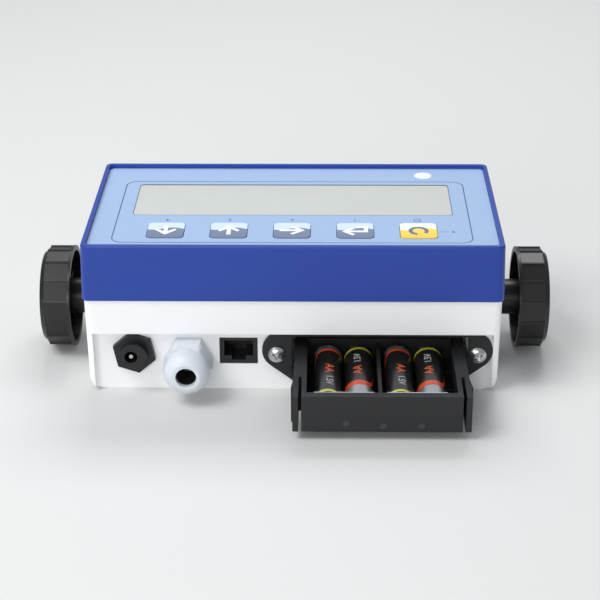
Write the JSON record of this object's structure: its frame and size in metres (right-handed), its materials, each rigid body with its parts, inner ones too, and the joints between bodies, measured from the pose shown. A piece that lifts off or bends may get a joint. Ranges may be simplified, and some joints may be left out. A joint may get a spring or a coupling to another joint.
{
  "type": "weighing indicator",
  "caption": "Tabletop weighing indicator with flared front bezel, wide display, keypad, port recess, pulled-out battery drawer and side clamp knobs.",
  "frame": {"origin": "on the flat back, under the centre of the outline that runs from the drawer's front to the far wall", "axes": "+Z is the front panel's outward normal, -Y looks out of the port and drawer side, +X is to the right in the picture, along the knob axes"},
  "size_m": [0.2614, 0.1586, 0.08],
  "materials": {
    "bezel": "fine matt blue",
    "overlay": "printed pale blue film",
    "window": "clear film",
    "lcd": "light grey display glass",
    "key": "printed grey blue",
    "shell": "smooth white",
    "black_plastic": "matt black",
    "tray": "matt near-black",
    "gland": "pale blue grey",
    "rubber": "matt",
    "steel": "bright",
    "brass": "bright",
    "board": "green solder mask",
    "ribbon": "grey",
    "cell": "printed shrink sleeve"
  },
  "bodies": {
    "case": {"front_bezel": "bezel", "panel_overlay": "overlay", "display_window": "window", "display_frame": "black_plastic", "display_glass": "lcd", "backlight": "shell", "key_switches": "black_plastic", "switch_board": "board", "switch_board_screws": "steel", "rear_shell": "shell", "seam_gasket": "rubber", "case_screws": "steel", "bezel_inserts": "brass", "main_board": "board", "main_board_screws": "steel", "board_chips": "black_plastic", "buzzer": "black_plastic", "lead_clamp": "key", "ribbon_cable": "ribbon", "ribbon_sockets": "black_plastic", "power_socket": "black_plastic", "power_pin": "steel", "power_nut": "steel", "gland_body": "gland", "gland_seal": "rubber", "gland_lock_nut": "gland", "data_socket": "black_plastic", "data_contacts": "brass", "data_board": "board", "data_board_screws": "steel", "bay_frame": "tray", "bay_screws": "steel", "bay_contacts": "brass", "wall_inserts": "brass", "rubber_washers": "rubber"},
    "key_1": {"key_1": "key"},
    "key_2": {"key_2": "key"},
    "key_3": {"key_3": "key"},
    "key_4": {"key_4": "key"},
    "key_5": {"key_5": "key"},
    "drawer": {"battery_drawer": "tray", "cell_1": "cell", "cell_2": "cell", "cell_3": "cell", "cell_4": "cell", "front_contacts": "steel", "rear_springs": "steel", "rear_plates": "steel", "rear_terminals": "brass"},
    "finger_left": {"finger_left": "tray"},
    "finger_right": {"finger_right": "tray"},
    "gland_nut": {"gland_nut": "gland"},
    "washer_left": {"washer_left": "steel"},
    "washer_right": {"washer_right": "steel"},
    "knob_left": {"knob_left": "black_plastic", "stud_left": "steel"},
    "knob_right": {"knob_right": "black_plastic", "stud_right": "steel"}
  },
  "joints": [
    {"name": "key_1_press", "type": "slide", "parent": "case", "child": "key_1", "axis": [0, 0, -1], "range_m": [0, 0.0005], "stiffness_N_per_m": 800, "springref_m": -0.0005},
    {"name": "key_2_press", "type": "slide", "parent": "case", "child": "key_2", "axis": [0, 0, -1], "range_m": [0, 0.0005], "stiffness_N_per_m": 800, "springref_m": -0.0005},
    {"name": "key_3_press", "type": "slide", "parent": "case", "child": "key_3", "axis": [0, 0, -1], "range_m": [0, 0.0005], "stiffness_N_per_m": 800, "springref_m": -0.0005},
    {"name": "key_4_press", "type": "slide", "parent": "case", "child": "key_4", "axis": [0, 0, -1], "range_m": [0, 0.0005], "stiffness_N_per_m": 800, "springref_m": -0.0005},
    {"name": "key_5_press", "type": "slide", "parent": "case", "child": "key_5", "axis": [0, 0, -1], "range_m": [0, 0.0005], "stiffness_N_per_m": 800, "springref_m": -0.0005},
    {"name": "drawer_slide", "type": "slide", "parent": "case", "child": "drawer", "axis": [0, 1, 0], "range_m": [0, 0.0435]},
    {"name": "finger_left_bend", "type": "hinge", "parent": "drawer", "child": "finger_left", "pos_m": [0.0021, -0.05931, 0.01415], "axis": [0, 0, 1], "range_deg": [0, 3], "stiffness_Nm_per_rad": 0.3},
    {"name": "washer_left_slide", "type": "slide", "parent": "case", "child": "washer_left", "axis": [-1, 0, 0], "range_m": [0, 0.00375]},
    {"name": "knob_left_turn", "type": "hinge", "parent": "washer_left", "child": "knob_left", "pos_m": [-0.10765, 0.02319, 0.0272], "axis": [-1, 0, 0], "range_deg": [0, 1080]},
    {"name": "finger_right_bend", "type": "hinge", "parent": "drawer", "child": "finger_right", "pos_m": [0.0841, -0.05931, 0.01415], "axis": [0, 0, -1], "range_deg": [0, 3], "stiffness_Nm_per_rad": 0.3},
    {"name": "washer_right_slide", "type": "slide", "parent": "case", "child": "washer_right", "axis": [1, 0, 0], "range_m": [0, 0.00375]},
    {"name": "knob_right_turn", "type": "hinge", "parent": "washer_right", "child": "knob_right", "pos_m": [0.10765, 0.02319, 0.0272], "axis": [1, 0, 0], "range_deg": [0, 1080]},
    {"name": "gland_nut_turn", "type": "hinge", "parent": "case", "child": "gland_nut", "pos_m": [-0.052, -0.04231, 0.0179], "axis": [0, -1, 0], "range_deg": [0, 180]}
  ],
  "couplings": [
    {"joint": "knob_left_turn", "follows": "washer_left_slide", "rad_per_m": 5026.5},
    {"joint": "knob_right_turn", "follows": "washer_right_slide", "rad_per_m": 5026.5}
  ]
}
